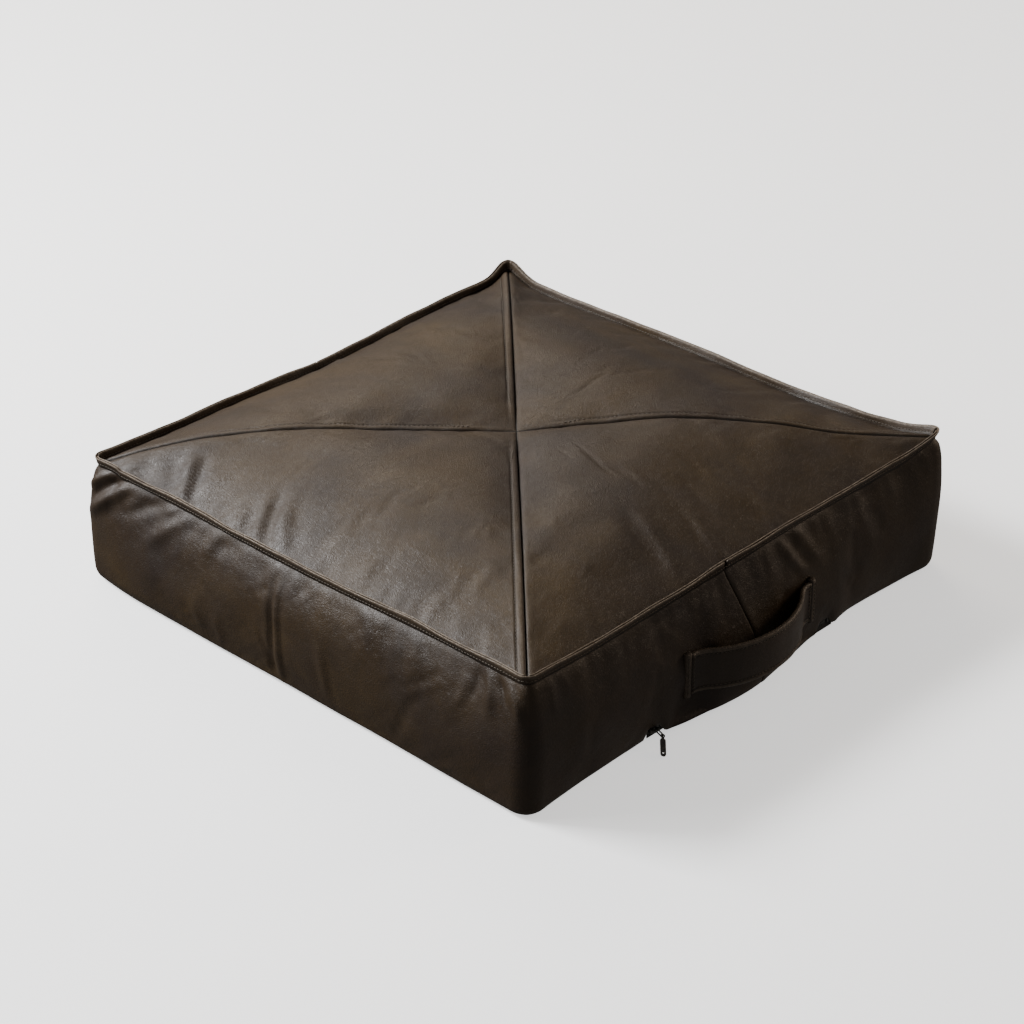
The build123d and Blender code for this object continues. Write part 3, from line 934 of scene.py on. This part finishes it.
PANEL_NAMES = ("front", "right", "back", "left")
panels = {}
for k, name in enumerate(PANEL_NAMES):
    piece = Piece()
    p, wear_and_painted_light = top_grid(k)
    piece.sheet(p[::-1], LEATHER, wear_and_painted_light[::-1])  # rows turned so that the good side is up
    fin_ply(piece, [(k, loop(k, -HALF, k, HALF)[0][1])], -1, trim=0.8)
    panels[name] = piece.make(f"top_panel_{name}_leather", COVER)


# ---- side bands

def band_rows():
    g = np.linspace(0, 1, 60)
    return np.unique(np.concatenate([g, [0.008, 0.025, 0.975, 0.99, 0.996]]))


def band_grid(parts):
    """One band leather, from one upright seam round to the other."""
    g_line = band_rows()
    columns = []
    for number, (k, places) in enumerate(parts):
        if number:
            places = places[1:]
        g, s = np.meshgrid(g_line, places, indexing="ij")
        seam = None
        if k in (FRONT, BACK):
            z = band_surface(k, s, g)[..., 2]
            seam = band_seam(k, z)
            s = s + seam * np.exp(-((s / 90) ** 2))
        p = band_surface(k, s, g)
        shift = sample(BAND_SHIFT[k], g, (s + HALF) / (2 * HALF))
        lift = band_detail(k, s, g, p, seam)
        columns.append((p + shift, lift))
    p = np.concatenate([c[0] for c in columns], axis=1)
    lift = np.concatenate([c[1] for c in columns], axis=1)
    return p + grid_normals(p) * lift[..., None]


# The parts of the two bands, and of the plies they add to the standing edge.
band_parts = {
    "left": loop(BACK, 0.0, FRONT + 4, 0.0),
    "right": loop(FRONT, 0.0, BACK, 0.0),
}
fin_parts = {
    "left": loop(BACK, 0.0, FRONT + 4, -22.0),
    "right": loop(FRONT, -22.0, BACK, 0.0),
}
bands = {}
for name, parts in band_parts.items():
    piece = Piece()
    piece.sheet(band_grid(parts), LEATHER)
    fin_ply(piece, fin_parts[name], 1, trim=0.15)
    bands[name] = piece.make(f"side_band_{name}_leather", COVER)


# ---- base

def base_edge(k, s):
    """How far out and how high the base's edge is. It turns up to meet the zip."""
    foot = smooth(FOOT_OUT[k], s)
    zipped = zip_part(k, s)
    return mix(foot - 5.3, 1.2, zipped), mix(1.0, 5.4, zipped)


def base_grid():
    t_line = np.concatenate([np.linspace(0.004, 0.94, 24), [0.96, 0.975, 0.985, 0.993, 0.997, 1.0]])
    blocks = []
    for k in range(4):
        places = loop(k, -HALF, k, HALF, 6.0)[0][1]
        places = places if k == LEFT else places[:-1]
        t, s = np.meshgrid(t_line, places, indexing="ij")
        out, z = base_edge(k, s)
        turned = ease((t - 0.955) / 0.045)
        p = ring(k, s, out, 0.15 + (z - 0.15) * turned**2, 18)
        p[..., 0] *= t
        p[..., 1] *= t
        p[..., 2] += 0.5 * (1 - ease((t - 0.5) / 0.45)) * (1 + 0.6 * swell(p, 21, 190))
        blocks.append(p)
    return np.concatenate(blocks, axis=1)


piece = Piece()
piece.sheet(base_grid(), LEATHER * 0.8)
base = piece.make("base_panel_leather", COVER)


# ---- stitches

def capsule():
    """One stitch lying along x: points and faces, of unit length and radius."""
    points = []
    around = 6
    for x, r in ((-0.5, 0.25), (-0.42, 0.8), (-0.2, 1.0), (0.2, 1.0), (0.42, 0.8), (0.5, 0.25)):
        for j in range(around):
            a = 2 * math.pi * j / around
            points.append((x, r * math.cos(a), r * math.sin(a)))
    faces = []
    for i in range(5):
        for j in range(around):
            b = (j + 1) % around
            faces.append((i * around + j, i * around + b, (i + 1) * around + b, (i + 1) * around + j))
    faces.append((5, 4, 3, 2))
    faces.append((5, 2, 1, 0))
    faces.append((30, 31, 32, 33))
    faces.append((30, 33, 34, 35))
    return np.array(points), np.array(faces)


CAPSULE, CAPSULE_FACES = capsule()


def sew(piece, path, normals, pitch=4.0, length=3.0, radius=0.38, sink=0.1):
    """Stitches along a line of points, lying on the surface with those normals."""
    run = np.concatenate([[0], np.cumsum(np.linalg.norm(np.diff(path, axis=0), axis=1))])
    count = int(run[-1] / pitch)
    if count < 1:
        return
    middle = (np.arange(count) + 0.5) * run[-1] / count

    def at(values, where):
        return np.stack([np.interp(where, run, values[:, i]) for i in range(3)], axis=-1)

    a = at(path, middle - length / 2)
    b = at(path, middle + length / 2)
    n = unit(at(normals, middle))
    way = unit(b - a)
    n = unit(n - way * (n * way).sum(axis=1, keepdims=True))
    side = np.cross(n, way)
    size = np.linalg.norm(b - a, axis=1)[:, None, None]
    centre = (a + b) / 2 + n * (radius - sink)
    q = (
        centre[:, None, :]
        + way[:, None, :] * CAPSULE[None, :, 0:1] * size
        + side[:, None, :] * CAPSULE[None, :, 1:2] * radius
        + n[:, None, :] * CAPSULE[None, :, 2:3] * radius
    )
    faces = (CAPSULE_FACES[None] + np.arange(count)[:, None, None] * len(CAPSULE)).reshape(-1, 4)
    piece.add(q.reshape(-1, 3), faces, 0.0)


piece = Piece()
for k, at_start in ((RIGHT, True), (BACK, True), (BACK, False), (LEFT, False)):
    grid, _ = top_grid(k)
    column = NEAR_SEAM.index(STITCH_GAP)
    line = grid[:, column] if at_start else grid[:, -1 - column]
    normals = -grid_normals(grid)
    normal = normals[:, column] if at_start else normals[:, -1 - column]
    normal = normal * np.sign(normal[:, 2:3])
    rows = top_rows()
    keep = (rows * HALF > 34) & (rows * HALF < HALF - 3)
    sew(piece, line[keep], normal[keep], pitch=4.6, length=2.7, radius=0.46, sink=0.08)
cross_stitches = piece.make("cross_seam_topstitching", THREAD)

piece = Piece()
for parts in fin_parts.values():
    p, out, run = seam_path(parts)
    rise, side, wave, gap, height = fin_frame(p, out)
    level = SEWN_AT + 0.1
    w = ease(level / FIN_H)
    for which in (-1, 1):
        offset = which * (2 * PLY_HALF + 0.02 + gap * w) + wave * w
        line = p + rise * (level * height)[:, None] + side * offset[:, None]
        sew(piece, line, side * which, pitch=3.9, length=3.0, radius=0.42, sink=0.16)
edge_stitches = piece.make("edge_flange_topstitching", THREAD)


# ---- liner and filling

def inner_form(inset):
    """A closed soft form inside the cover."""
    blocks = []
    for k in range(4):
        s = np.linspace(-HALF, HALF, 61)
        s = s if k == LEFT else s[:-1]
        rows = []
        for t in np.linspace(0.02, 0.96, 9):
            q = ring(k, s, -3 - inset, inset + 1.5, 26)
            q[:, :2] *= t
            rows.append(q)
        for g in (0.14, 0.2, 0.3, 0.4, 0.5, 0.6, 0.7, 0.8, 0.88):
            q = band_surface(k, s, g + 0 * s)
            q[:, :2] *= 1 - (inset + 5 + 4 * (g < 0.2)) / HALF
            rows.append(q)
        for t in np.linspace(0.95, 0.02, 24):
            q = top_surface(k, s, t + 0 * s)
            q[:, 2] -= inset + 3.0
            q[:, :2] *= 1 - (inset + 2) / HALF
            rows.append(q)
        blocks.append(np.array(rows))
    return np.concatenate(blocks, axis=1)


def closed_form(name, inset, look):
    piece = Piece()
    piece.grid(inner_form(inset)[:, :-1], wrap=True, caps=True)
    return piece.make(name, look)


liner = closed_form("inner_liner", 4.0, LINER)
filling = closed_form("bead_filling_soft", 6.0, BEADS)


# ---- handle

# How far the strap stands off the front wall, along it.
STRAP_SHAPE = ((-90, 3.0), (-82, 3.4), (-74, 6.2), (-60, 15.8), (-40, 25.6), (-20, 31.0), (0, 32.6),
               (20, 31.0), (40, 25.6), (60, 15.8), (74, 6.2), (82, 3.4), (90, 3.0))
STRAP_SEWN = 17.8  # from the strap's middle to its stitches


def strap_profile():
    """Cross-section of the strap: rolled edges, a groove for the stitches, a soft middle."""
    face = ((-23.0, 0.4), (-22.6, 1.7), (-21.4, 2.6), (-19.6, 2.7), (-18.4, 2.1), (-STRAP_SEWN, 1.6),
            (-17.0, 2.1), (-14, 2.5), (-7, 2.75), (0, 2.8))
    front = list(face) + [(-a, b) for a, b in face[-2::-1]]
    back = [(a, -0.85 * b) for a, b in front[::-1]]
    return [(b, a) for a, b in front + back]


def strap_path():
    x = np.linspace(-88.5, 88.5, 121)
    out = smooth(STRAP_SHAPE, x)
    droop = -0.8 * np.cos(np.pi * x / 168)
    p = np.stack([HANDLE_X + x, WALL_Y - out, HANDLE_Z + droop], axis=-1)
    way = unit(np.gradient(p, axis=0))
    up = np.broadcast_to(np.array([0.0, 0.0, 1.0]), p.shape)
    face = unit(np.cross(way, up))
    return p, face, up


piece = Piece()
p, face, up = strap_path()
profile = strap_profile()
q = sweep(p, face, up, profile)
q[..., 1] += 0.35 * swell(q, 61, 60)
# Painted shade in the stitch grooves; the rolled edges paler, partly scuffing and partly painted
# highlight.
wear_and_painted_light = [-0.6 if 17 < abs(b) < 18.5 else 0.6 if abs(b) > 19.2 else 0.05 for _, b in profile]
piece.grid(q, wear_and_painted_light=np.array(wear_and_painted_light), wrap=True, caps=True, flip=True)
strap = piece.make("handle_strap_leather", STRAP)

piece = Piece()
for level in (-STRAP_SEWN, STRAP_SEWN):
    for sign, depth in ((1, 1.62), (-1, 1.4)):
        line = p + face * (sign * depth) + up * level
        line = line[6:-6]
        line[:, 1] += 0.35 * swell(line, 61, 60)
        sew(piece, line, face[6:-6] * sign, pitch=4.2, length=3.1, radius=0.45, sink=0.1)
strap_stitches = piece.make("handle_strap_topstitching", THREAD)


def tab_grid(sign):
    """A folded leather end, lying on the band."""
    section = ((96.2, -2.0), (96.7, 0.8), (96.5, 3.4), (95.4, 5.2), (93.4, 6.0), (91.2, 6.1),
               (89.7, 5.6), (88.8, 4.4), (88.4, 2.0), (88.2, -2.0))
    levels = ((-24.8, 0.6), (-24.5, 0.85), (-23.6, 1.0), (-20, 1.0), (-10, 1.0), (0, 1.0), (10, 1.0),
              (20, 1.0), (23.6, 1.0), (24.5, 0.85), (24.8, 0.6))
    rows = []
    for z, tight in levels:
        row = []
        for a, b in section:
            x = HANDLE_X + sign * (a - (1 - tight) * 1.2)
            row.append((x, WALL_Y - mix(-2.0, b, tight), HANDLE_Z + z))
        rows.append(row)
    return np.array(rows, float)


tabs = {}
for name, sign in (("left", -1), ("right", 1)):
    piece = Piece()
    grid = tab_grid(sign)
    wear_and_painted_light = np.zeros(grid.shape[:2])
    # The rolled fold paler, partly scuffing and partly painted highlight; painted shade along the edges
    # that meet the band.
    wear_and_painted_light[:, 2:6] = 0.5
    wear_and_painted_light[:, :1] = -0.8
    wear_and_painted_light[:, -2:] = -0.8
    piece.grid(grid, wear_and_painted_light=wear_and_painted_light, wrap=True, caps=True, flip=sign > 0)
    tabs[name] = piece.make(f"handle_end_{name}_leather", STRAP)

piece = Piece()
for sign in (-1, 1):
    for across, depth in ((94.2, 5.8), (86.6, 6.0)):
        z = np.linspace(-21.5, 21.5, 30)
        x = HANDLE_X + sign * across + 0 * z
        line = np.stack([x, WALL_Y - depth + 0 * z, HANDLE_Z + z], axis=-1)
        normal = np.broadcast_to(np.array([0.0, -1.0, 0.0]), line.shape)
        sew(piece, line, normal, pitch=4.1, length=3.1, radius=0.45, sink=0.25)
end_stitches = piece.make("handle_end_topstitching", THREAD)


# ---- frame parts kept

LOOKS = {
    "handle_backing_patches": STRAP,
    "zip_tape_lower": TAPE,
    "zip_tape_upper": TAPE,
    "zip_teeth_lower": METAL,
    "zip_teeth_upper": METAL,
    "zip_stops": METAL,
    "zip_slider": METAL,
    "zip_link": METAL,
    "zip_puller": METAL,
}
for name, look in LOOKS.items():
    kept = bpy.data.objects[name]
    for slot in kept.material_slots:
        slot.material = look


# ---- what rides on what

LINER_NODES = ("liner_base_panel", "liner_top_panel", "liner_side_band", "liner_zip")
PLACES = (
    [(panels[n], "cover", "cover_leather", (f"top_panel_{n}",)) for n in PANEL_NAMES]
    + [(bands[n], "cover", "cover_leather", (f"side_band_{n}",)) for n in bands]
    + [(tabs[n], "cover", "handle_leather", (f"handle_end_{n}",)) for n in tabs]
    + [
        (base, "cover", "cover_leather", ("base_panel",)),
        (cross_stitches, "cover", "thread", ("cross_seam_stitching",)),
        (edge_stitches, "cover", "thread", ("edge_flange_stitching",)),
        (end_stitches, "cover", "thread", ("handle_end_stitching",)),
        (liner, "cover", "liner_cloth", LINER_NODES),
        (filling, "cover", "beads", ("bead_filling",)),
    ]
)
for piece, body, slot, nodes in PLACES:
    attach(piece, body)
    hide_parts(*nodes)
for piece, slot, nodes in (
    (strap, "handle_leather", ("handle_strap", "handle_core")),
    (strap_stitches, "thread", ("handle_edge_stitching",)),
):
    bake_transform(piece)
    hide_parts(*nodes)


# ---- floor, light, camera

def floor_material():
    n = Nodes("pale_floor")
    tone = n.span(n.noise(1.3, 3.0), 0.3, 0.7)
    return n.surface({
        "Base Color": n.blend(tone, colour(0.88, 0.88, 0.88), colour(0.90, 0.90, 0.895)),
        "Roughness": 0.75,
        "Emission Color": (1.0, 1.0, 1.0, 1.0),
        "Emission Strength": 0.88,
    })


# The floor's reach and height, in metres.
STUDIO = ((0.02, 0), (6, 0), (9, 0), (11, 0.3), (12.5, 1.2), (13.5, 2.8), (14, 5.5), (14, 9))


def floor_grid():
    """A round floor that curves up into a backdrop all round."""
    turn = np.linspace(0, 2 * math.pi, 73)[:-1]
    rows = []
    for reach, height in STUDIO:
        rows.append(np.stack([reach * np.cos(turn), reach * np.sin(turn), height + 0 * turn], axis=-1))
    return np.array(rows) / MM


piece = Piece()
piece.grid(floor_grid(), wrap=True)
floor = piece.make("floor", floor_material())
floor.location = (0, 0, -0.0004)
floor.visible_diffuse = False
floor.visible_glossy = False


def area_light(name, place, target, power, width, height, tint=(1.0, 1.0, 1.0)):
    light = bpy.data.lights.new(name, "AREA")
    light.shape = "RECTANGLE"
    light.size = width
    light.size_y = height
    light.energy = power
    light.color = tint
    obj = bpy.data.objects.new(name, light)
    obj.location = place
    way = Vector(target) - Vector(place)
    obj.rotation_euler = way.to_track_quat("-Z", "Y").to_euler()
    bpy.context.scene.collection.objects.link(obj)


area_light("key_softbox", (-1.3, 2.1, 2.0), (0.0, 0.0, 0.1), 212, 1.15, 0.75, (0.98, 0.985, 1.0))
area_light("side_softbox", (-2.2, 1.6, 1.5), (-0.2, 0.0, 0.1), 30, 0.7, 0.55, (0.95, 0.97, 1.0))
area_light("top_softbox", (1.3, 2.3, 2.1), (0.0, 0.0, 0.1), 38, 1.8, 1.4, (1.0, 0.90, 0.76))
area_light("warm_fill", (2.7, -1.2, 0.9), (0.1, -0.2, 0.08), 26, 0.8, 0.8, (1.0, 0.78, 0.58))

world = bpy.data.worlds.new("studio")
world.use_nodes = True
background = world.node_tree.nodes["Background"]
background.inputs["Color"].default_value = (1.0, 0.95, 0.89, 1.0)
background.inputs["Strength"].default_value = 0.2
bpy.context.scene.world = world

camera = bpy.data.cameras.new("camera")
camera.lens = 106.1
camera.sensor_width = 36.0
camera.dof.use_dof = False
camera.clip_end = 60.0
view = bpy.data.objects.new("camera", camera)
view.location = (-1.9216, -1.8349, 1.6329)
view.rotation_euler = Vector((0.6221, 0.5961, -0.5076)).to_track_quat("-Z", "Y").to_euler()
bpy.context.scene.collection.objects.link(view)
bpy.context.scene.camera = view
